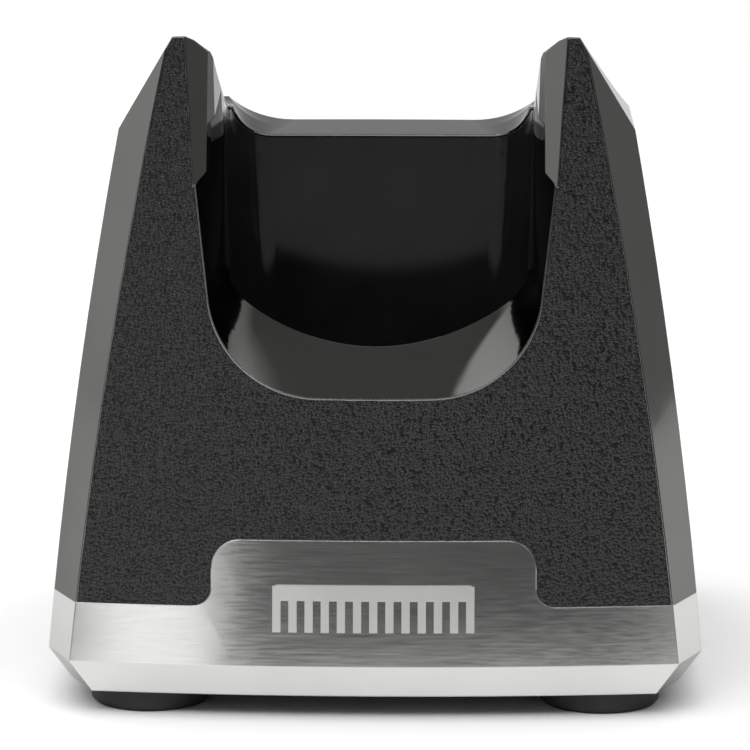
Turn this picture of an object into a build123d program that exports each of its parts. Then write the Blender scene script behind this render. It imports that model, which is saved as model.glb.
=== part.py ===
"""Desk-top charging stand for a cordless hair clipper, in millimetres.

+X is right, -Y is the front, +Z is up. The origin is below its middle, on the surface that it rests on.
"""

from build123d import *
from math import cos, radians, sin, sqrt, tan
import os

os.makedirs("parts", exist_ok=True)

# ---------------------------------------------------------------- driving dimensions
# outer body: a tapered block with flat chamfers at its four upright corners
base_bottom_z = 3.5  # underside of the base, above the feet
bevel_top_z = 8.4  # widest level of the base
seam_z = 17.5  # the silver base ends and the dark body starts
horn_z = 103.2  # top of the horns
top_z = horn_z + 0.8  # level that the body's taper is measured to
front_y = -46.0
front_lean = (13.0, 7.0)  # how far the front leans back by top_z: straight share, curved share
back_y = 47.0
back_lean = (9.0, 6.8)
front_half = 47.0  # half-width at the front and back corners, widest level
front_taper = (9.8, 5.2)
side_half = 50.9  # half-width at the sides, widest level
side_taper = (8.4, 5.2)
chamfer_depth = 8.6  # how far the corner chamfers reach along the sides
crown = 3.0  # how far the front and the back bulge at their middle
bevel_side = 3.4  # inset of the underside at the sides
bevel_end = 1.3  # inset of the underside at the front and back

# walls and clearances
shell_wall = 2.4
trim_wall = 2.4
panel_thick = 2.0
panel_gap = 0.06  # round the front panel
edge_land = 0.25  # shell that shows beside the front panel
liner_wall = 2.0
fit_gap = 0.15  # between parts that drop into each other
skin = 0.35  # shell over the top edge of the cradle liner
collar_wall = 1.6  # of the shell round the top of the liner

# roof: an arc from the horns down to the back rim, seen from the side
pocket_half = 24.6
horn_y = -25.0
back_rim_y = back_y - 10.0
back_rim_z = horn_z - 16.9
roof_mid_y = -6.0
roof_mid_z = horn_z - 10.5
roof_fall = 1.5  # over the 30 mm behind the back rim
horn_slope_x = pocket_half + 6.8  # the outer slope of each horn starts here at horn_z
horn_slope_deg = 30.5
horn_notch_x = pocket_half + 4.3  # the inner slope of each horn starts here at horn_z
horn_notch_deg = 46.0

# cradle pocket: upright, round in front and flat behind
pocket_front_y = -31.0
pocket_back_y = 18.0
pocket_corner = 6.2
pocket_rim_z = horn_z - 21.2
pocket_draft = 2.2
pocket_floor_z = 24.5
floor_thick = 2.5

# mouth of the cradle, which opens it to the front: stations that lean back like the front, given at mouth_z
# (y, bottom z, then beyond pocket_half: where its corner ends and its side at horn_z, and the corner radius)
mouth_z = 49.0
mouth_lean_deg = 13.4
mouth_flare_deg = 9.0
mouth_floor_grow = 1.3  # its floor slopes, so it drops by more than the wall that it leaves
mouth_corner_grow = 0.6
mouth_stations = (
    (-48.0, 42.0, 1.7, 7.4, 20.0),
    (-39.2, 49.1, 0.9, 6.3, 16.8),
    (-31.0, 55.9, 0.6, 4.2, 11.0),
    (-22.0, 60.2, 0.3, 1.6, 5.5),
    (-10.0, 63.2, 0.0, 0.3, 1.8),
)
# above stop_z each horn keeps a flat inner wall with a chamfer on its front edge
stop_z = horn_z - 22.3
stop_slope = 1.0
stop_x = pocket_half + 3.2
crease_x = pocket_half + 1.5
horn_wall_out = 0.25  # the flat inner wall's front end lies this far outside the pocket's wall
horn_wall_run = 4.4  # from the crease back to the flat inner wall
horn_foot_z = horn_z - 14.3  # lower edge of the flat inner wall at horn_foot_y
horn_foot_y = pocket_front_y
horn_foot_slope = 0.15
horn_rim_x = pocket_half + 4.9  # the horns' inner rim on the front face at horn_z
horn_rim_lean = 0.07
chamfer_slope = 0.95

# valley between the horns, over the back rim: (y, half-width, corner radius)
valley_z = pocket_rim_z
valley_stations = (
    (pocket_back_y - 10.0, pocket_half - 1.0, 6.6),
    (pocket_back_y, pocket_half + 0.1, 6.6),
    (back_rim_y - 9.0, pocket_half + 2.8, 11.0),
    (back_rim_y, pocket_half + 8.4, 18.0),
    (back_y + 5.0, pocket_half + 16.4, 27.0),
)

# badge tab: the raised tongue of the silver base in the front
tab_top_z = 27.7
tab_half = 25.0
tab_corner = 4.4
tab_foot = 2.8

# feet
foot_x = side_half - 15.8
foot_front_y = front_y + 13.5
foot_rear_y = back_y - 14.5
foot_r = 9.35
foot_stem_r = 3.0
foot_stem_h = 3.2
foot_edge = 0.6  # chamfer at the foot's lower edge

# bottom cover and its fastenings
cover_thick = 2.6
ledge_h = 2.0
ledge_w = 1.2
screw_r = 1.25  # shank of every small screw
screw_head_r = 2.4
screw_head_h = 1.6
hole_gap = 0.08  # round a screw shank
cover_screw_x = side_half - 10.7
cover_screw_y = (-15.0, 16.0)
cover_boss_r = 3.4
cover_boss_top = 34.0
web_thick = 3.0  # webs that tie the cover screws' posts to the side walls

# ballast
ballast_size = (58.0, 34.0, 4.0)
ballast_y = -14.0
ballast_boss_h = 0.8

# contacts
contact_x = 6.0
contact_y = -7.0
pin_r = 0.9
pin_flange_r = 1.25
pin_proud = 2.4  # pin tip above the pocket floor
barrel_r = 2.0
barrel_bore_r = 1.32
barrel_neck_r = 0.96
barrel_bottom_z = 12.6
barrel_wall_end = 0.8
barrel_sunk = 0.1  # top of the barrel below the pocket floor
barrel_neck_h = 0.9
pin_flange_h = 1.6
spring_gap = 0.08  # between the spring and the bore
spring_seat = 0.02  # between the spring's ends and their seats
spring_wire_r = 0.16
spring_pitch = 0.9
block_size = (27.0, 11.0, 8.0)
block_screw_x = 10.4

# liner ears, which hang from shelves inside the body
ear_x = pocket_half + 8.9
ear_y = -4.0
ear_half = 4.0
shelf_h = 5.0

# circuit board and inlet
board_size = (40.0, 27.0, 1.6)
board_top_z = 17.6
board_inset = 0.9  # from the back of the inlet housing to the board's edge
jack_gap = 0.35  # between the inlet housing and the back wall
board_boss_r = 2.8
board_screw_x = 16.5
board_screw_dy = 9.5
jack_size = (9.2, 12.0, 11.0)
jack_nose_r = 4.4
jack_bore_r = 2.8
jack_bore_depth = 10.5
jack_pin_r = 1.0
jack_rise = 6.2  # axis of the inlet above the board
nose_gap = 0.2
nose_recess = 0.6  # end of the inlet's nose behind the back face
jack_pin_recess = 1.5

# emblem
emblem_z = 17.3
emblem_w = 31.0
emblem_h = 7.4
emblem_thick = 0.5
emblem_spine = 2.4
emblem_teeth = 13
emblem_tooth_w = 1.25
emblem_tooth_drop = 0.4  # the teeth are this much shorter than the whole
emblem_corner = 0.84
emblem_gap = 0.02  # film of glue behind it


# ---------------------------------------------------------------- shape of the outer body
def level(z):
    """Height as a share of the taper, 0 at the widest level and 1 at top_z."""
    return (z - bevel_top_z) / (top_z - bevel_top_z)


def lean(pair, z):
    """A straight share and a curved share of movement by height z."""
    t = level(z)
    return pair[0] * t + pair[1] * t * t


def front_at(z):
    return front_y + lean(front_lean, z)


def back_at(z):
    return back_y - lean(back_lean, z)


def corner_at(z):
    return front_half - lean(front_taper, z)


def side_at(z):
    return side_half - lean(side_taper, z)


def outline(z, side=0.0, front=0.0, back=0.0):
    """The body's plan at height z, drawn into the active line, pulled in at the sides, front and back."""
    xf = corner_at(z) - side
    xs = side_at(z) - side
    yf = front_at(z) + front
    yb = back_at(z) - back
    bulge = crown * (xf / front_half) ** 2
    arc_front = ThreePointArc((-xf, yf + bulge), (0, yf), (xf, yf + bulge))
    right = Polyline(
        (xf, yf + bulge),
        (xs, yf + bulge + chamfer_depth),
        (xs, yb - bulge - chamfer_depth),
        (xf, yb - bulge),
    )
    arc_back = ThreePointArc((xf, yb - bulge), (0, yb), (-xf, yb - bulge))
    left = Polyline(
        (-xf, yb - bulge),
        (-xs, yb - bulge - chamfer_depth),
        (-xs, yf + bulge + chamfer_depth),
        (-xf, yf + bulge),
    )
    return arc_front, right, arc_back, left


def body_block(z0, z1, side=0.0, front=0.0, back=0.0):
    """The tapered body between two heights, with its walls pulled in."""
    with BuildPart() as block:
        for z in (z0, (2 * z0 + z1) / 3, (z0 + 2 * z1) / 3, z1):
            with BuildSketch(Plane.XY.offset(z)):
                with BuildLine():
                    outline(z, side, front, back)
                make_face()
        loft()
    return block.part


def bevel_block(inset=0.0):
    """The undercut foot of the base, from its underside to the widest level."""
    with BuildPart() as block:
        for z, side, end in (
            (base_bottom_z, bevel_side + inset, bevel_end + inset),
            (bevel_top_z, inset, inset),
        ):
            with BuildSketch(Plane.XY.offset(z)):
                with BuildLine():
                    outline(bevel_top_z, side, end, end)
                make_face()
        loft(ruled=True)
    return block.part


def front_layer(depth, side, z0, z1, ahead=0.0):
    """A layer that follows the front face, depth thick, narrower than it by side at each edge."""
    with BuildPart() as layer:
        for z in (z0, (2 * z0 + z1) / 3, (z0 + 2 * z1) / 3, z1):
            xf = corner_at(z) - side
            bulge = crown * (xf / front_half) ** 2
            y0 = front_at(z) - ahead
            y1 = front_at(z) + depth
            with BuildSketch(Plane.XY.offset(z)):
                with BuildLine():
                    ThreePointArc((-xf, y0 + bulge), (0, y0), (xf, y0 + bulge))
                    Line((xf, y0 + bulge), (xf, y1 + bulge))
                    ThreePointArc((xf, y1 + bulge), (0, y1), (-xf, y1 + bulge))
                    Line((-xf, y1 + bulge), (-xf, y0 + bulge))
                make_face()
        loft()
    return layer.part


# ---------------------------------------------------------------- cutters for the roof, mouth and pocket
cut_top = top_z + 20.0


def roof_cutter(drop=0.0):
    """Everything above the roof arc, which is lowered by drop."""
    with BuildPart() as cutter:
        with BuildSketch(Plane.YZ.offset(-side_half - 10)):
            with BuildLine():
                ThreePointArc(
                    (horn_y, horn_z - drop),
                    (roof_mid_y, roof_mid_z - drop),
                    (back_rim_y, back_rim_z - drop),
                )
                Polyline(
                    (back_rim_y, back_rim_z - drop),
                    (back_y + 20, back_rim_z - drop - roof_fall),
                    (back_y + 20, cut_top),
                    (front_y - 20, cut_top),
                    (front_y - 20, horn_z - drop),
                    (horn_y, horn_z - drop),
                )
            make_face()
        extrude(amount=2 * side_half + 20)
    return cutter.part


def horn_slopes(drop=0.0):
    """The sloped cuts on the outer and inner side of both horns, seen from the front."""
    z0 = horn_z - drop
    reach = 40.0
    outer = tan(radians(horn_slope_deg))
    inner = tan(radians(horn_notch_deg))
    with BuildPart() as cutter:
        with BuildSketch(Plane.XZ.offset(back_y + 20)):
            with BuildLine():
                Polyline(
                    (horn_slope_x - outer * 10, z0 + 10),
                    (horn_slope_x + outer * reach, z0 - reach),
                    (horn_slope_x + outer * reach + 40, z0 - reach),
                    (horn_slope_x + outer * reach + 40, z0 + 10),
                    close=True,
                )
            make_face()
            with BuildLine():
                Polyline(
                    (horn_notch_x + 10 * inner, z0 + 10),
                    (horn_notch_x - 8 * inner, z0 - 8),
                    (0, z0 - 8),
                    (0, z0 + 10),
                    close=True,
                )
            make_face()
            mirror(about=Plane.YZ)
        extrude(amount=-(back_y - front_y + 40))
    return cutter.part


def trough(x_low, x_high, z_low, z_high, radius, flare):
    """Half of a U drawn into the active line: flat bottom, round corner, side that curves out to the top."""
    f = radians(flare)
    cx = x_low - radius * cos(f)
    cz = z_low + radius
    turn = (radians(90) + f) / 2
    foot = (cx, z_low)
    mid = (cx + radius * cos(turn), cz - radius * sin(turn))
    end = (cx + radius * cos(f), cz - radius * sin(f))
    Line((0, z_low), foot)
    ThreePointArc(foot, mid, end)
    Line(end, (x_high, z_high))
    Line((x_high, z_high), (0, z_high))


def mouth_cutter(grow=0.0):
    """The funnel in front, opened by grow, up to the diagonal where the horns' chamfers stop."""
    lean_back = radians(mouth_lean_deg)
    rise = (cut_top - mouth_z) / cos(lean_back)
    with BuildPart() as cutter:
        for y, z_low, beyond_low, beyond_high, radius in mouth_stations:
            half = pocket_half + beyond_low
            half_high = pocket_half + beyond_high
            plane = Plane(
                origin=(0, y, mouth_z), x_dir=(1, 0, 0), z_dir=(0, -cos(lean_back), sin(lean_back))
            )
            low = (z_low - grow * mouth_floor_grow - mouth_z) / cos(lean_back)
            share = (cut_top - z_low) / (horn_z - z_low)
            high = half + (half_high - half) * share
            with BuildSketch(plane):
                with BuildLine():
                    corner = radius + grow * mouth_corner_grow
                    trough(half + grow, high + grow, low, rise, corner, mouth_flare_deg)
                    mirror(about=Plane.YZ)
                make_face()
        loft()
    return cutter.part


def horn_cutter(grow=0.0):
    """The room between the horns above the funnel, with a chamfer on the front edge of each horn."""
    ahead = 12.0
    xc = crease_x + grow
    with BuildPart() as cutter:
        for z in (stop_z - 5, (stop_z + horn_z) / 2, horn_z + 3):
            rim_x = horn_rim_x + (z - horn_z) * horn_rim_lean
            wall_x = pocket_half + (z - pocket_rim_z) * tan(radians(pocket_draft)) + grow
            yc = front_at(z) + crown * (rim_x / front_half) ** 2 + (rim_x - crease_x) * chamfer_slope
            with BuildSketch(Plane.XY.offset(z)):
                with BuildLine():
                    Polyline(
                        (0, yc - ahead * chamfer_slope),
                        (xc + ahead, yc - ahead * chamfer_slope),
                        (xc, yc),
                        (wall_x + horn_wall_out, yc + horn_wall_run),
                        (wall_x, pocket_front_y + pocket_half),
                        (0, pocket_front_y + pocket_half),
                        close=True,
                    )
                make_face()
                mirror(about=Plane.YZ)
        loft(ruled=True)
    return cutter.part


def stop_wedge():
    """The space above the diagonals where the horns' chamfers stop and the feet of their inner walls."""
    rise = cut_top - stop_z
    crease_z = stop_z + (stop_x - crease_x) * stop_slope
    reach = back_y - front_y + 30
    with BuildPart() as wedge:
        with BuildSketch(Plane.XZ.offset(-back_y)):
            with BuildLine():
                Polyline(
                    (stop_x + rise, stop_z - rise * stop_slope),
                    (crease_x, crease_z),
                    (crease_x, cut_top + 5),
                    (stop_x + rise, cut_top + 5),
                    close=True,
                )
            make_face()
            mirror(about=Plane.YZ)
        extrude(amount=reach)
        with BuildSketch(Plane.YZ.offset(-crease_x)):
            with BuildLine():
                Polyline(
                    (horn_foot_y - reach / 2, horn_foot_z - reach / 2 * horn_foot_slope),
                    (horn_foot_y + reach / 2, horn_foot_z + reach / 2 * horn_foot_slope),
                    (horn_foot_y + reach / 2, cut_top + 5),
                    (horn_foot_y - reach / 2, cut_top + 5),
                    close=True,
                )
            make_face()
        extrude(amount=2 * crease_x)
    return wedge.part


def valley_cutter(grow=0.0):
    """The hollow over the back rim, between the horns."""
    with BuildPart() as cutter:
        for y, half, radius in valley_stations:
            with BuildSketch(Plane.XZ.offset(-y)):
                with BuildLine():
                    trough(half + grow, half + grow, valley_z - grow, cut_top, radius + grow, 0.0)
                    mirror(about=Plane.YZ)
                make_face()
        loft(ruled=True)
    return cutter.part


def pocket_plan(z, grow=0.0):
    """Plan of the pocket at height z, drawn into the active line: round in front, flat behind."""
    inset = (pocket_rim_z - z) * tan(radians(pocket_draft)) - grow
    half = pocket_half - inset
    middle = pocket_front_y + pocket_half
    back = pocket_back_y - inset
    r = pocket_corner
    cut = r * (1 - sqrt(0.5))
    Line((0, back), (half - r, back))
    ThreePointArc((half - r, back), (half - cut, back - cut), (half, back - r))
    Line((half, back - r), (half, middle))
    ThreePointArc((half, middle), (half * sqrt(0.5), middle - half * sqrt(0.5)), (0, middle - half))
    mirror(about=Plane.YZ)


def pocket_block(z0, z1, grow=0.0):
    """The pocket's room between two heights, opened by grow."""
    with BuildPart() as block:
        for z in (z0, z1):
            with BuildSketch(Plane.XY.offset(z)):
                with BuildLine():
                    pocket_plan(z, grow)
                make_face()
        loft(ruled=True)
    return block.part


def openings(grow=0.0):
    """All that is cut away above the pocket: roof, horn slopes, valley, mouth and room between the horns."""
    mouth = mouth_cutter(grow) - stop_wedge()
    horns = horn_cutter(grow) & stop_wedge()
    return [roof_cutter(grow), horn_slopes(grow), valley_cutter(grow), mouth, horns]


def rod(x, y, z0, z1, radius):
    """An upright cylinder between two heights."""
    return Pos(x, y, z0) * Cylinder(
        radius, z1 - z0, align=(Align.CENTER, Align.CENTER, Align.MIN), mode=Mode.PRIVATE
    )


def slab(x, y, z0, size):
    """An upright box on height z0."""
    return Pos(x, y, z0) * Box(*size, align=(Align.CENTER, Align.CENTER, Align.MIN), mode=Mode.PRIVATE)


def wall_arm(x, y, z0, size):
    """A block from x out to the side of the body, size[0] further in, size[1] wide and size[2] high."""
    sign = 1 if x > 0 else -1
    inner = abs(x) - size[0]
    return slab(sign * (inner + side_half) / 2, y, z0, (side_half - inner, size[1], size[2]))


def write(part, name):
    part.label = name
    export_step(part, f"parts/{name}.step")


def write_group(solids, name):
    group = Compound(children=solids)
    group.label = name
    export_step(group, f"parts/{name}.step")


def tab_prism(gap=0.0, below=0.0):
    """The outline of the badge tab, run back through the front wall and opened by gap."""
    z_top = tab_top_z + gap
    half = tab_half + gap
    r = tab_corner + gap
    foot = tab_foot - gap
    cut = 1 - sqrt(0.5)
    z_foot = seam_z + gap + 0.01
    with BuildPart() as prism:
        with BuildSketch(Plane.XZ.offset(-front_y - 15)):
            with BuildLine():
                Line((0, z_top), (half - r, z_top))
                ThreePointArc((half - r, z_top), (half - r * cut, z_top - r * cut), (half, z_top - r))
                Line((half, z_top - r), (half, z_foot + foot))
                ThreePointArc(
                    (half, z_foot + foot), (half + foot * cut, z_foot + foot * cut), (half + foot, z_foot)
                )
                Polyline((half + foot, z_foot), (half + foot, seam_z - below), (0, seam_z - below))
                mirror(about=Plane.YZ)
            make_face()
        extrude(amount=30)
    return prism.part


# ---------------------------------------------------------------- shared solids
cuts = openings()
skin_cuts = openings(skin)
liner_cuts = openings(skin + fit_gap)
wall_cuts = openings(shell_wall)
pocket_room = pocket_block(pocket_floor_z, cut_top)
liner_room = pocket_block(pocket_floor_z - floor_thick - 8, cut_top, liner_wall + fit_gap)
collar_bottom_z = pocket_rim_z - 20.0
collar = pocket_block(collar_bottom_z, cut_top, liner_wall + fit_gap + collar_wall)
panel_room = front_layer(panel_thick + panel_gap, edge_land, seam_z - 2, top_z, ahead=6)
for cutter in openings(edge_land):
    panel_room = panel_room - cutter
jack_z = board_top_z + jack_rise
jack_back_y = back_at(board_top_z + jack_size[1]) - shell_wall - jack_gap
board_back_y = jack_back_y - board_inset
nose_hole = Plane(origin=(0, back_y, jack_z), z_dir=(0, 1, 0)) * Cylinder(jack_nose_r + nose_gap, 16)
screw_places = [(x, y) for x in (-cover_screw_x, cover_screw_x) for y in cover_screw_y]
shelf_z = pocket_floor_z + 0.1
ear_places = [(-ear_x, ear_y), (ear_x, ear_y)]

# ---------------------------------------------------------------- body shell
# hollow of the shell, which leaves walls round the openings, the cradle liner and the roof
hollow = body_block(seam_z, top_z, shell_wall, shell_wall + panel_thick, shell_wall)
for cutter in wall_cuts:
    hollow = hollow - cutter
hollow = hollow - collar

# posts for the cover screws and shelves for the liner, merged into the side walls
posts = []
for x, y in screw_places:
    posts.append(rod(x, y, base_bottom_z + cover_thick, cover_boss_top, cover_boss_r))
    posts.append(wall_arm(x, y, seam_z + 1, (0, web_thick, cover_boss_top - seam_z - 1)))
for x, y in ear_places:
    posts.append(wall_arm(x, y, shelf_z, (ear_half, 2 * ear_half, shelf_h)))
inner_body = body_block(base_bottom_z, top_z, shell_wall / 2, shell_wall + panel_thick, shell_wall / 2)

with BuildPart() as body_shell:
    add(body_block(seam_z, top_z))
    for cutter in cuts:
        add(cutter, mode=Mode.SUBTRACT)
    add(hollow, mode=Mode.SUBTRACT)
    add(panel_room, mode=Mode.SUBTRACT)
    for post in posts:
        add(post & inner_body)
    add(pocket_block(base_bottom_z, cut_top), mode=Mode.SUBTRACT)
    rebate = liner_room
    for cutter in skin_cuts:
        rebate = rebate - cutter
    add(rebate, mode=Mode.SUBTRACT)
    for x, y in screw_places:
        add(rod(x, y, 0, cover_boss_top - 4, screw_r + hole_gap), mode=Mode.SUBTRACT)
    for x, y in ear_places:
        add(rod(x, y, 0, shelf_z + shelf_h - 0.8, screw_r + hole_gap), mode=Mode.SUBTRACT)
    add(nose_hole, mode=Mode.SUBTRACT)
write(body_shell.part, "body_shell")

# ---------------------------------------------------------------- front panel
with BuildPart() as front_panel:
    add(front_layer(panel_thick, edge_land + panel_gap, seam_z + panel_gap, top_z))
    for cutter in openings(edge_land + panel_gap):
        add(cutter, mode=Mode.SUBTRACT)
    add(tab_prism(panel_gap, below=2.0), mode=Mode.SUBTRACT)
write(front_panel.part, "front_panel")

# ---------------------------------------------------------------- cradle liner
with BuildPart() as cradle_liner:
    add(pocket_block(pocket_floor_z - floor_thick, cut_top, liner_wall))
    add(pocket_room, mode=Mode.SUBTRACT)
    for cutter in liner_cuts:
        add(cutter, mode=Mode.SUBTRACT)
    for x, y in ear_places:
        sign = 1 if x > 0 else -1
        inner = pocket_half - 3
        outer = abs(x) + ear_half
        ear_size = (outer - inner, 2 * ear_half, floor_thick)
        add(slab(sign * (inner + outer) / 2, y, shelf_z - floor_thick, ear_size) - pocket_room)
        add(rod(x, y, 0, shelf_z + 1, screw_r + hole_gap), mode=Mode.SUBTRACT)
    for sign in (-1, 1):
        add(rod(sign * contact_x, contact_y, 0, pocket_floor_z + 1, barrel_r + hole_gap), mode=Mode.SUBTRACT)
        add(
            rod(sign * block_screw_x, contact_y, 0, pocket_floor_z - 0.6, screw_r + hole_gap),
            mode=Mode.SUBTRACT,
        )
write(cradle_liner.part, "cradle_liner")

# ---------------------------------------------------------------- silver base
base_hollow = body_block(bevel_top_z, seam_z, trim_wall, trim_wall, trim_wall)
cover_z = base_bottom_z + cover_thick
ledge_top_z = cover_z + ledge_h
throat_inset = 0.2  # of the base's room above the cover, from the plan of the underside
cover_inset = trim_wall - 0.8  # of the bottom cover's seat
ledge_root = trim_wall - 1.4  # the ledge starts inside the wall


def base_plan(z0, z1, inset):
    """A straight block with the plan of the base's underside, pulled in by inset."""
    with BuildPart() as block:
        with BuildSketch(Plane.XY.offset(z0)):
            with BuildLine():
                outline(bevel_top_z, bevel_side + inset, bevel_end + inset, bevel_end + inset)
            make_face()
        extrude(amount=z1 - z0)
    return block.part


tab_layer = front_layer(panel_thick, edge_land, seam_z - 2, tab_top_z + 3, ahead=5)
tab_body = tab_layer & tab_prism(below=1)
above_seam = slab(0, 0, seam_z, (3 * side_half, 3 * side_half, top_z)) - tab_body

with BuildPart() as base_trim:
    add(body_block(bevel_top_z, tab_top_z + 2))
    add(above_seam, mode=Mode.SUBTRACT)
    add(bevel_block())
    add(base_hollow, mode=Mode.SUBTRACT)
    add(base_plan(cover_z, bevel_top_z + 0.01, throat_inset), mode=Mode.SUBTRACT)
    add(base_plan(base_bottom_z - 1, cover_z, cover_inset), mode=Mode.SUBTRACT)
    add(base_plan(cover_z, ledge_top_z, ledge_root) - base_plan(cover_z, ledge_top_z, trim_wall + ledge_w))
    add(nose_hole, mode=Mode.SUBTRACT)
write(base_trim.part, "base_trim")

# ---------------------------------------------------------------- emblem: a plain comb
with BuildPart() as comb_prism:
    with BuildSketch(Plane.XZ.offset(-front_y - 5)):
        with Locations((0, emblem_z + (emblem_h - emblem_spine) / 2)):
            RectangleRounded(emblem_w, emblem_spine, emblem_corner)
        with Locations((0, emblem_z)):
            with GridLocations((emblem_w - emblem_tooth_w) / (emblem_teeth - 1), 1, emblem_teeth, 1):
                Rectangle(emblem_tooth_w, emblem_h - emblem_tooth_drop)
    extrude(amount=12)
emblem_layer = front_layer(
    -emblem_gap, edge_land, emblem_z - emblem_h, emblem_z + emblem_h, ahead=emblem_thick
)
with BuildPart() as badge_emblem:
    add(emblem_layer & comb_prism.part)
write(badge_emblem.part, "badge_emblem")

# ---------------------------------------------------------------- bottom cover
boss_top_z = board_top_z - board_size[2]
board_y = board_back_y - board_size[1] / 2
board_screws = [(sx * board_screw_x, board_y + sy * board_screw_dy) for sx in (-1, 1) for sy in (-1, 1)]
ballast_screws = [(-ballast_size[0] / 2 + 4, ballast_y), (ballast_size[0] / 2 - 4, ballast_y)]
feet = {
    "foot_front_left": (-foot_x, foot_front_y),
    "foot_front_right": (foot_x, foot_front_y),
    "foot_rear_left": (-foot_x, foot_rear_y),
    "foot_rear_right": (foot_x, foot_rear_y),
}

with BuildPart() as bottom_cover:
    add(base_plan(base_bottom_z, cover_z, cover_inset + fit_gap))
    for x, y in board_screws:
        add(rod(x, y, cover_z, boss_top_z, board_boss_r))
    for x, y in ballast_screws:
        add(rod(x, y, cover_z, cover_z + ballast_boss_h, board_boss_r + 1))
    for x, y in board_screws:
        add(rod(x, y, boss_top_z - 7, boss_top_z, screw_r + hole_gap), mode=Mode.SUBTRACT)
    for x, y in ballast_screws:
        add(rod(x, y, base_bottom_z + 0.8, cover_z + 3, screw_r + hole_gap), mode=Mode.SUBTRACT)
    for x, y in feet.values():
        add(rod(x, y, base_bottom_z, cover_z, foot_stem_r + 0.02), mode=Mode.SUBTRACT)
    for x, y in screw_places:
        add(rod(x, y, base_bottom_z, cover_z, screw_r + hole_gap), mode=Mode.SUBTRACT)
        add(rod(x, y, base_bottom_z, base_bottom_z + screw_head_h, screw_head_r + 0.2), mode=Mode.SUBTRACT)
write(bottom_cover.part, "bottom_cover")

# ---------------------------------------------------------------- feet
for name, (x, y) in feet.items():
    with BuildPart(Plane.XY) as foot:
        with BuildSketch(Plane.XZ.offset(-y)):
            with BuildLine(Plane.XZ.offset(-y)):
                Polyline(
                    (x, 0),
                    (x + foot_r - foot_edge, 0),
                    (x + foot_r, foot_edge),
                    (x + foot_r, base_bottom_z),
                    (x + foot_stem_r, base_bottom_z),
                    (x + foot_stem_r, base_bottom_z + foot_stem_h),
                    (x, base_bottom_z + foot_stem_h),
                    close=True,
                )
            make_face()
        revolve(axis=Axis((x, y, 0), (0, 0, 1)))
    write(foot.part, name)

# ---------------------------------------------------------------- ballast
ballast_z = cover_z + ballast_boss_h
with BuildPart() as ballast_plate:
    with BuildSketch(Plane.XY.offset(ballast_z)):
        with Locations((0, ballast_y)):
            RectangleRounded(ballast_size[0], ballast_size[1], 3)
    extrude(amount=ballast_size[2])
    for x, y in ballast_screws:
        add(rod(x, y, ballast_z, ballast_z + ballast_size[2], screw_r + hole_gap), mode=Mode.SUBTRACT)
write(ballast_plate.part, "ballast_plate")


# ---------------------------------------------------------------- contacts
def contact_name(kind, sign):
    return f"{kind}_{'left' if sign < 0 else 'right'}"


block_top_z = pocket_floor_z - floor_thick
block_z = block_top_z - block_size[2]
with BuildPart() as contact_block:
    with BuildSketch(Plane.XY.offset(block_z)):
        with Locations((0, contact_y)):
            RectangleRounded(block_size[0], block_size[1], 1.5)
    extrude(amount=block_size[2])
    for sign in (-1, 1):
        add(rod(sign * contact_x, contact_y, block_z, block_top_z, barrel_r + 0.02), mode=Mode.SUBTRACT)
        add(
            rod(sign * block_screw_x, contact_y, block_z, block_top_z, screw_r + hole_gap), mode=Mode.SUBTRACT
        )
write(contact_block.part, "contact_block")

barrel_top_z = pocket_floor_z - barrel_sunk
flange_top_z = barrel_top_z - barrel_neck_h
spring_bottom_z = barrel_bottom_z + barrel_wall_end
spring_top_z = flange_top_z - pin_flange_h
tip_z = pocket_floor_z + pin_proud
spring_r = barrel_bore_r - spring_wire_r - spring_gap

for sign in (-1, 1):
    x = sign * contact_x
    with BuildPart() as contact_barrel:
        add(rod(x, contact_y, barrel_bottom_z, barrel_top_z, barrel_r))
        add(rod(x, contact_y, spring_bottom_z, flange_top_z + 0.1, barrel_bore_r), mode=Mode.SUBTRACT)
        add(rod(x, contact_y, flange_top_z, barrel_top_z + 1, barrel_neck_r), mode=Mode.SUBTRACT)
    write(contact_barrel.part, contact_name("contact_barrel", sign))

    with BuildPart() as contact_pin:
        add(rod(x, contact_y, spring_top_z, flange_top_z, pin_flange_r))
        add(rod(x, contact_y, flange_top_z, tip_z, pin_r))
        fillet(contact_pin.edges().group_by(Axis.Z)[-1], radius=pin_r * 0.7)
    write(contact_pin.part, contact_name("contact_pin", sign))

    coil_z = spring_bottom_z + spring_wire_r + spring_seat
    coil_h = spring_top_z - spring_bottom_z - 2 * (spring_wire_r + spring_seat)
    with BuildPart() as contact_spring:
        with BuildLine():
            coil = Helix(spring_pitch, coil_h, spring_r, center=(x, contact_y, coil_z))
        with BuildSketch(Plane(origin=coil @ 0, z_dir=coil % 0)):
            Circle(spring_wire_r)
        sweep(path=coil, is_frenet=True)
    write(contact_spring.part, contact_name("contact_spring", sign))

# ---------------------------------------------------------------- circuit board and inlet
with BuildPart() as circuit_board:
    add(slab(0, board_y, boss_top_z, board_size))
    for x, y in board_screws:
        add(rod(x, y, boss_top_z, board_top_z, screw_r + hole_gap), mode=Mode.SUBTRACT)
write(circuit_board.part, "circuit_board")

nose_end_y = back_at(jack_z) - nose_recess
jack_plane = Plane(origin=(0, nose_end_y, jack_z), z_dir=(0, 1, 0))
with BuildPart() as power_jack_housing:
    add(slab(0, jack_back_y - jack_size[2] / 2, board_top_z, (jack_size[0], jack_size[2], jack_size[1])))
    with BuildSketch(jack_plane):
        Circle(jack_nose_r)
    extrude(amount=-(nose_end_y - jack_back_y + 2))
    with BuildSketch(jack_plane):
        Circle(jack_bore_r)
    extrude(amount=-jack_bore_depth, mode=Mode.SUBTRACT)
    with BuildSketch(jack_plane):
        Circle(jack_pin_r + 0.02)
    extrude(amount=-(nose_end_y - jack_back_y + jack_size[2]), mode=Mode.SUBTRACT)
write(power_jack_housing.part, "power_jack_housing")

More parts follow.
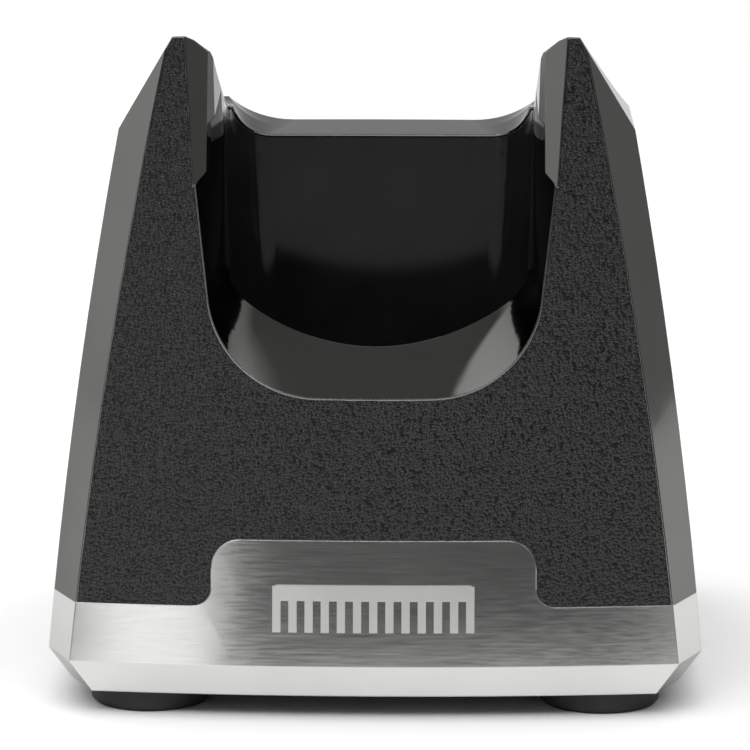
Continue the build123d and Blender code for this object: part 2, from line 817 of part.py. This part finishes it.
with BuildPart() as power_jack_pin:
    with BuildSketch(jack_plane.offset(-jack_pin_recess)):
        Circle(jack_pin_r)
    extrude(amount=-(nose_end_y - jack_back_y + jack_size[2] - jack_pin_recess))
    fillet(power_jack_pin.edges().group_by(Axis.Y)[-1], radius=0.6)
write(power_jack_pin.part, "power_jack_pin")

connector_place = (-7.0, board_y - 5.5)
connector_size = (8.0, 5.6, 6.0)
with BuildPart() as board_connector:
    add(slab(*connector_place, board_top_z, connector_size))
    chamfer(board_connector.edges().group_by(Axis.Z)[-1], length=0.4)
write(board_connector.part, "board_connector")

wire_r = 0.5
wire_start_y = connector_place[1] - connector_size[1] / 2
wire_start_z = board_top_z + 2.2
wire_end_z = (barrel_bottom_z + block_z) / 2
wire_routes = [
    [
        (connector_place[0] + sign * 1.2, wire_start_y, wire_start_z),
        (connector_place[0] + sign * 1.6, wire_start_y - 9.0, wire_start_z),
        (sign * contact_x - 1.0, contact_y + 13.0, wire_end_z),
        (sign * contact_x, contact_y + barrel_r, wire_end_z),
    ]
    for sign in (-1, 1)
]
wires = []
for route in wire_routes:
    with BuildPart() as wire:
        with BuildLine():
            path = FilletPolyline(*route, radius=3.0)
        with BuildSketch(Plane(origin=path @ 0, z_dir=path % 0)):
            Circle(wire_r)
        sweep(path=path)
    wires.append(wire.part)
write_group(wires, "contact_wires")

with BuildPart() as voltage_regulator:
    add(slab(-13.0, board_y + 2.5, board_top_z, (6.6, 6.2, 2.3)))
    chamfer(voltage_regulator.edges().group_by(Axis.Z)[-1], length=0.3)
write(voltage_regulator.part, "voltage_regulator")

with BuildPart() as filter_capacitor:
    add(rod(13.0, board_y + 0.5, board_top_z, board_top_z + 8.0, 3.1))
    fillet(filter_capacitor.edges().group_by(Axis.Z)[-1], radius=0.5)
write(filter_capacitor.part, "filter_capacitor")


# ---------------------------------------------------------------- screws
def screw(x, y, z_tip, z_head, down):
    """A pan-head screw from its tip to the underside of its head; down if its head is below."""
    turn = -1 if down else 1
    length = abs(z_head - z_tip)
    with BuildPart() as body:
        with BuildSketch(Plane.XZ):
            with BuildLine():
                Polyline(
                    (0, -length),
                    (screw_r * 0.4, -length),
                    (screw_r, -length + screw_r),
                    (screw_r, 0),
                    (screw_head_r, 0),
                    (screw_head_r, screw_head_h * 0.6),
                    (screw_head_r * 0.75, screw_head_h - 0.1),
                    (0, screw_head_h - 0.1),
                    close=True,
                )
            make_face()
        revolve(axis=Axis.Z)
        with BuildSketch(Plane.XY.offset(screw_head_h - 1.0)):
            Rectangle(screw_head_r * 1.2, 0.6)
            Rectangle(0.6, screw_head_r * 1.2)
        extrude(amount=2, mode=Mode.SUBTRACT)
    placed = body.part if not down else body.part.rotate(Axis.X, 180)
    return Pos(x, y, z_head) * placed


write_group(
    [screw(x, y, cover_boss_top - 6, base_bottom_z + screw_head_h, True) for x, y in screw_places],
    "cover_screws",
)
write_group([screw(x, y, boss_top_z - 6, board_top_z, False) for x, y in board_screws], "board_screws")
write_group(
    [screw(x, y, base_bottom_z + 1.2, ballast_z + ballast_size[2], False) for x, y in ballast_screws],
    "ballast_screws",
)
write_group(
    [screw(x, y, shelf_z + shelf_h - 1.5, shelf_z - floor_thick, True) for x, y in ear_places], "liner_screws"
)
write_group(
    [screw(sign * block_screw_x, contact_y, pocket_floor_z - 0.9, block_z, True) for sign in (-1, 1)],
    "contact_block_screws",
)
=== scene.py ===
"""Looks of the charging stand: materials, the leather-grained front, rounded highlights, light and camera."""

import math

import bpy
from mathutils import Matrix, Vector


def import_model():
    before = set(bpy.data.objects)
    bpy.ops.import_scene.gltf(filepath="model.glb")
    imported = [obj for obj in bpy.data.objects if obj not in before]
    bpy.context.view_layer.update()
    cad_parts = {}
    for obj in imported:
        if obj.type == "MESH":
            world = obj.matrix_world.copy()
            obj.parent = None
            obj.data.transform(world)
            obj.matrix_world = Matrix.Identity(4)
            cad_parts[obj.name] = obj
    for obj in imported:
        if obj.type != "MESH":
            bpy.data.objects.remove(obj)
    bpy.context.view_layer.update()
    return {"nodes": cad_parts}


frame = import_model()

MM = 0.001
NODES = frame["nodes"]

# lumps of the unevenness in the metals and plastics
METAL_CLOUD = 18 * MM
METAL_POLISH = 0.5 * MM
BRUSH_LINE = 0.35 * MM
POLISH_DEPTH = 0.002 * MM
PLASTIC_CLOUD = 9 * MM

# leather grain of the front panel
GRAIN_CELL = 0.5 * MM
GRAIN_DEPTH = 0.16 * MM
GRAIN_EDGE = 0.2 * MM
GRAIN_WARP_SIZE = 0.9 * MM
GRAIN_WARP = 0.35 * MM
GRAIN_FINE_SIZE = 0.16 * MM
GRAIN_FINE_DEPTH = 0.01 * MM

# brightness of the room along a direction's x, y or z, each from 0 at -1 to 1 at +1
ROOM_CEILING = ((0.30, 0.85), (0.39, 0.80), (0.425, 0.14), (0.62, 0.16), (0.70, 0.32), (0.80, 0.65))
ROOM_WALLS = ((0.05, 0.09), (0.3, 0.13), (0.55, 0.7), (0.9, 0.95))
ROOM_SIDES = ((0.05, 1.0), (0.5, 1.0), (0.75, 0.6), (0.95, 0.35))
ROOM_HEIGHT = ((0.70, 0.0), (0.85, 1.0))

# camera, lens and sensor in millimetres, the rest in metres
LENS = 211.2
SENSOR = 36.0
CAMERA_SHIFT = (-0.0059, -0.0555)
CAMERA_PLACE = (0.01466, -0.69985, 0.183)
CAMERA_AIM = (0, 0, 0.052)
NEAREST = 0.05
FARTHEST = 60.0


# ---------------------------------------------------------------- small helpers for shader trees
class Tree:
    """A material and short ways to add and join its nodes."""

    def __init__(self, name):
        self.material = bpy.data.materials.new(name)
        self.material.use_nodes = True
        self.tree = self.material.node_tree
        self.shader = self.tree.nodes["Principled BSDF"]
        self.place = self.add("ShaderNodeTexCoord").outputs["Object"]

    def add(self, kind, **values):
        node = self.tree.nodes.new(kind)
        for name, value in values.items():
            setattr(node, name, value)
        return node

    def join(self, source, target):
        self.tree.links.new(source, target)

    def set(self, **values):
        """Constant inputs of the shader, by name with _ for a space."""
        for name, value in values.items():
            self.shader.inputs[name.replace("_", " ")].default_value = value

    def noise(self, size, detail=2.0, rough=0.5, stretch=(1, 1, 1)):
        """Noise whose lumps are about size metres wide."""
        spread = self.add("ShaderNodeMapping")
        spread.inputs["Scale"].default_value = stretch
        self.join(self.place, spread.inputs["Vector"])
        node = self.add("ShaderNodeTexNoise")
        node.inputs["Scale"].default_value = 1 / size
        node.inputs["Detail"].default_value = detail
        node.inputs["Roughness"].default_value = rough
        self.join(spread.outputs["Vector"], node.inputs["Vector"])
        return node.outputs["Fac"]

    def remap(self, value, low, high, to_low, to_high):
        node = self.add("ShaderNodeMapRange")
        for name, number in (("From Min", low), ("From Max", high), ("To Min", to_low), ("To Max", to_high)):
            node.inputs[name].default_value = number
        self.join(value, node.inputs["Value"])
        return node.outputs["Result"]

    def ramp(self, value, stops):
        """Colours along a value: stops are (position, colour)."""
        node = self.add("ShaderNodeValToRGB")
        elements = node.color_ramp.elements
        while len(elements) < len(stops):
            elements.new(0.5)
        for element, (position, colour) in zip(elements, stops):
            element.position = position
            element.color = (*colour, 1)
        self.join(value, node.inputs["Fac"])
        return node.outputs["Color"]

    def bump(self, height, distance, strength=1.0, normal=None):
        node = self.add("ShaderNodeBump")
        node.inputs["Distance"].default_value = distance
        node.inputs["Strength"].default_value = strength
        self.join(height, node.inputs["Height"])
        if normal is not None:
            self.join(normal, node.inputs["Normal"])
        return node.outputs["Normal"]

    def rounded(self, radius):
        """The surface's normal with its edges rounded by radius, in metres."""
        node = self.add("ShaderNodeBevel", samples=6)
        node.inputs["Radius"].default_value = radius
        return node.outputs["Normal"]


def dress(material, *names):
    for name in names:
        mesh = NODES[name].data
        mesh.materials.clear()
        mesh.materials.append(material)


# ---------------------------------------------------------------- materials
def metal(name, colour, rough, rough_spread, edge, anisotropy=0.0, brushed=None, rim=1.0):
    """Metal, faintly uneven in tone and polish, with rounded edges; rim is its shine at grazing angles."""
    t = Tree(name)
    t.set(Metallic=1.0, Anisotropic=anisotropy, Specular_Tint=(rim, rim, rim, 1))
    cloud = t.noise(METAL_CLOUD, 3.0)
    fine = t.noise(METAL_POLISH, 2.0) if brushed is None else t.noise(BRUSH_LINE, 3.0, 0.6, brushed)
    darker = tuple(c * 0.93 for c in colour)
    t.join(t.ramp(cloud, ((0.3, darker), (0.7, colour))), t.shader.inputs["Base Color"])
    t.join(t.remap(fine, 0.3, 0.7, rough, rough + rough_spread), t.shader.inputs["Roughness"])
    t.join(t.bump(fine, POLISH_DEPTH, 0.25, t.rounded(edge)), t.shader.inputs["Normal"])
    return t.material


def plastic(name, colour, rough, texture_size, texture_depth, edge, specular=0.5):
    """Moulded plastic: a fine texture in its surface and in its polish."""
    t = Tree(name)
    t.set(Specular_IOR_Level=specular)
    cloud = t.noise(PLASTIC_CLOUD, 3.0)
    fine = t.noise(texture_size, 3.0)
    lighter = tuple(min(1, c * 1.25 + 0.002) for c in colour)
    t.join(t.ramp(cloud, ((0.3, colour), (0.75, lighter))), t.shader.inputs["Base Color"])
    t.join(t.remap(fine, 0.25, 0.75, rough * 0.85, rough * 1.2), t.shader.inputs["Roughness"])
    t.join(t.bump(fine, texture_depth, 0.5, t.rounded(edge)), t.shader.inputs["Normal"])
    return t.material


def grained():
    """Black moulded leather grain: rounded pebbles, with painted shade that makes the colour darker in the
    valleys between them and lighter on their tops.
    """
    t = Tree("black_grain")
    t.set(Specular_IOR_Level=0.5)
    warp = t.add("ShaderNodeTexNoise")
    warp.inputs["Scale"].default_value = 1 / GRAIN_WARP_SIZE
    warp.inputs["Detail"].default_value = 2.0
    t.join(t.place, warp.inputs["Vector"])
    shift = t.add("ShaderNodeVectorMath", operation="MULTIPLY_ADD")
    shift.inputs[1].default_value = (GRAIN_WARP,) * 3
    t.join(warp.outputs["Color"], shift.inputs[0])
    t.join(t.place, shift.inputs[2])
    cells = t.add("ShaderNodeTexVoronoi", feature="SMOOTH_F1")
    cells.inputs["Scale"].default_value = 1 / GRAIN_CELL
    cells.inputs["Smoothness"].default_value = 0.35
    t.join(shift.outputs["Vector"], cells.inputs["Vector"])
    height = t.remap(cells.outputs["Distance"], 0.1, 0.75, 1.0, 0.0)
    fine = t.noise(GRAIN_FINE_SIZE, 2.0)
    # painted shade: the base colour follows the pebble height, darker in the valleys between pebbles and
    # lighter on their tops
    t.join(
        t.ramp(height, ((0.0, (0.004, 0.004, 0.004)), (1.0, (0.011, 0.011, 0.0112)))),
        t.shader.inputs["Base Color"],
    )
    t.join(t.remap(fine, 0.2, 0.8, 0.2, 0.34), t.shader.inputs["Roughness"])
    grain = t.bump(height, GRAIN_DEPTH, 1.0, t.rounded(GRAIN_EDGE))
    t.join(t.bump(fine, GRAIN_FINE_DEPTH, 0.3, grain), t.shader.inputs["Normal"])
    return t.material


dark_chrome = metal("dark_chrome", (0.26, 0.26, 0.25), 0.07, 0.04, 0.25 * MM, rim=0.3)
silver = metal("silver_metal", (0.70, 0.70, 0.685), 0.10, 0.05, 0.35 * MM, 0.2, (0.04, 1, 1), 0.6)
black_gloss = plastic("black_gloss", (0.009, 0.009, 0.009), 0.12, 0.8 * MM, 0.001 * MM, 0.3 * MM, 0.16)
black_matte = plastic("black_matte", (0.018, 0.018, 0.018), 0.55, 0.25 * MM, 0.02 * MM, 0.3 * MM)
rubber = plastic("foot_rubber", (0.022, 0.022, 0.022), 0.62, 0.3 * MM, 0.03 * MM, 0.4 * MM, 0.35)
emblem = metal("emblem_satin", (0.80, 0.80, 0.78), 0.32, 0.05, 0.1 * MM)
zinc = metal("screw_steel", (0.60, 0.61, 0.62), 0.28, 0.08, 0.15 * MM)
ballast = metal("ballast_steel", (0.42, 0.43, 0.44), 0.45, 0.1, 0.3 * MM)
gold = metal("contact_gold", (0.86, 0.62, 0.24), 0.16, 0.05, 0.1 * MM)
spring_steel = metal("spring_steel", (0.55, 0.55, 0.56), 0.25, 0.05, 0.03 * MM)
board_green = plastic("board_green", (0.012, 0.085, 0.032), 0.3, 0.4 * MM, 0.004 * MM, 0.1 * MM)
connector_white = plastic("connector_white", (0.75, 0.73, 0.66), 0.4, 0.3 * MM, 0.005 * MM, 0.15 * MM)
sleeve = metal("capacitor_sleeve", (0.5, 0.52, 0.56), 0.3, 0.05, 0.2 * MM)
wire_cover = plastic("wire_cover", (0.35, 0.02, 0.02), 0.35, 0.3 * MM, 0.004 * MM, 0.05 * MM)

dress(dark_chrome, "body_shell")
dress(silver, "base_trim")
dress(grained(), "front_panel")
dress(black_gloss, "cradle_liner")
dress(black_matte, "bottom_cover", "contact_block", "power_jack_housing", "voltage_regulator")
dress(rubber, *[name for name in NODES if name.startswith("foot_")])
dress(emblem, "badge_emblem")
dress(zinc, "power_jack_pin", *[name for name in NODES if name.endswith("_screws")])
dress(ballast, "ballast_plate")
dress(gold, *[name for name in NODES if name.startswith(("contact_pin", "contact_barrel"))])
dress(spring_steel, "contact_spring_left", "contact_spring_right")
dress(board_green, "circuit_board")
dress(connector_white, "board_connector")
dress(sleeve, "filter_capacitor")
dress(wire_cover, "contact_wires")


# ---------------------------------------------------------------- studio
def floor():
    """A round sheet of pale paper; the room's own brightness goes on beyond it."""
    radius = 1.9
    points = 96
    mesh = bpy.data.meshes.new("floor")
    turns = [2 * math.pi * i / points for i in range(points)]
    ring = [(radius * math.cos(a), radius * math.sin(a), 0) for a in turns]
    mesh.from_pydata(ring, [], [tuple(range(points))])
    sheet = bpy.data.objects.new("floor", mesh)
    bpy.context.scene.collection.objects.link(sheet)
    t = Tree("floor_paper")
    t.set(Base_Color=(0.93, 0.93, 0.93, 1), Roughness=0.8, Specular_IOR_Level=0.1)
    mesh.materials.append(t.material)


def area(name, place, size, radiance, aim=(0, 0, 0.05), seen_in_gloss=True):
    """A softbox at place, turned towards aim, as bright as a surface of that radiance."""
    data = bpy.data.lights.new(name, "AREA")
    data.shape = "RECTANGLE"
    data.size, data.size_y = size
    data.energy = radiance * math.pi * size[0] * size[1]
    lamp = bpy.data.objects.new(name, data)
    lamp.location = place
    lamp.rotation_euler = (Vector(aim) - Vector(place)).to_track_quat("-Z", "Y").to_euler()
    lamp.visible_glossy = seen_in_gloss
    bpy.context.scene.collection.objects.link(lamp)


def world():
    """The room: white behind, dim ahead; overhead a bright left bay, a dark gap and a dimmer right bay."""
    sky = bpy.data.worlds.new("room")
    bpy.context.scene.world = sky
    sky.use_nodes = True
    tree = sky.node_tree

    def node(kind, **values):
        made = tree.nodes.new(kind)
        for name, value in values.items():
            setattr(made, name, value)
        return made

    def ramp(value, stops):
        made = node("ShaderNodeValToRGB")
        elements = made.color_ramp.elements
        while len(elements) < len(stops):
            elements.new(0.5)
        for element, (position, grey) in zip(elements, stops):
            element.position = position
            element.color = (grey, grey, grey, 1)
        tree.links.new(value, made.inputs["Fac"])
        return made.outputs["Color"]

    def half(value):
        """A coordinate from -1..1 to 0..1."""
        made = node("ShaderNodeMath", operation="MULTIPLY_ADD")
        made.inputs[1].default_value = 0.5
        made.inputs[2].default_value = 0.5
        tree.links.new(value, made.inputs[0])
        return made.outputs[0]

    def mix(factor, low, high):
        made = node("ShaderNodeMix", data_type="RGBA")
        tree.links.new(factor, made.inputs["Factor"])
        tree.links.new(low, made.inputs["A"])
        tree.links.new(high, made.inputs["B"])
        return made.outputs["Result"]

    place = node("ShaderNodeTexCoord").outputs["Generated"]
    split = node("ShaderNodeSeparateXYZ")
    tree.links.new(place, split.inputs["Vector"])
    x, y, z = (half(split.outputs[axis]) for axis in "XYZ")
    ceiling = ramp(x, ROOM_CEILING)
    walls = ramp(y, ROOM_WALLS)
    tint = ramp(x, ROOM_SIDES)
    shaded = node("ShaderNodeMix", data_type="RGBA", blend_type="MULTIPLY")
    shaded.inputs["Factor"].default_value = 1.0
    tree.links.new(walls, shaded.inputs["A"])
    tree.links.new(tint, shaded.inputs["B"])
    height = ramp(z, ROOM_HEIGHT)
    tree.links.new(mix(height, shaded.outputs["Result"], ceiling), tree.nodes["Background"].inputs["Color"])


def camera():
    data = bpy.data.cameras.new("camera")
    data.lens = LENS
    data.sensor_width = SENSOR
    data.shift_x, data.shift_y = CAMERA_SHIFT
    data.clip_start = NEAREST
    data.clip_end = FARTHEST
    holder = bpy.data.objects.new("camera", data)
    holder.location = CAMERA_PLACE
    holder.rotation_euler = (Vector(CAMERA_AIM) - holder.location).to_track_quat("-Z", "Y").to_euler()
    bpy.context.scene.collection.objects.link(holder)
    bpy.context.scene.camera = holder


floor()
world()
camera()
area("fill", (0, -0.3, 2.4), (3.4, 3.4), 1.9, aim=(0, 0, 0), seen_in_gloss=False)
area("front_left_card", (-0.62, -2.3, 0.35), (0.34, 1.1), 1.2)
area("front_top_card", (-0.2, -1.5, 1.75), (1.9, 0.5), 2.4)
area("front_right_card", (0.95, -2.2, 0.35), (0.6, 1.1), 0.3)
bpy.context.scene.view_settings.view_transform = "Standard"
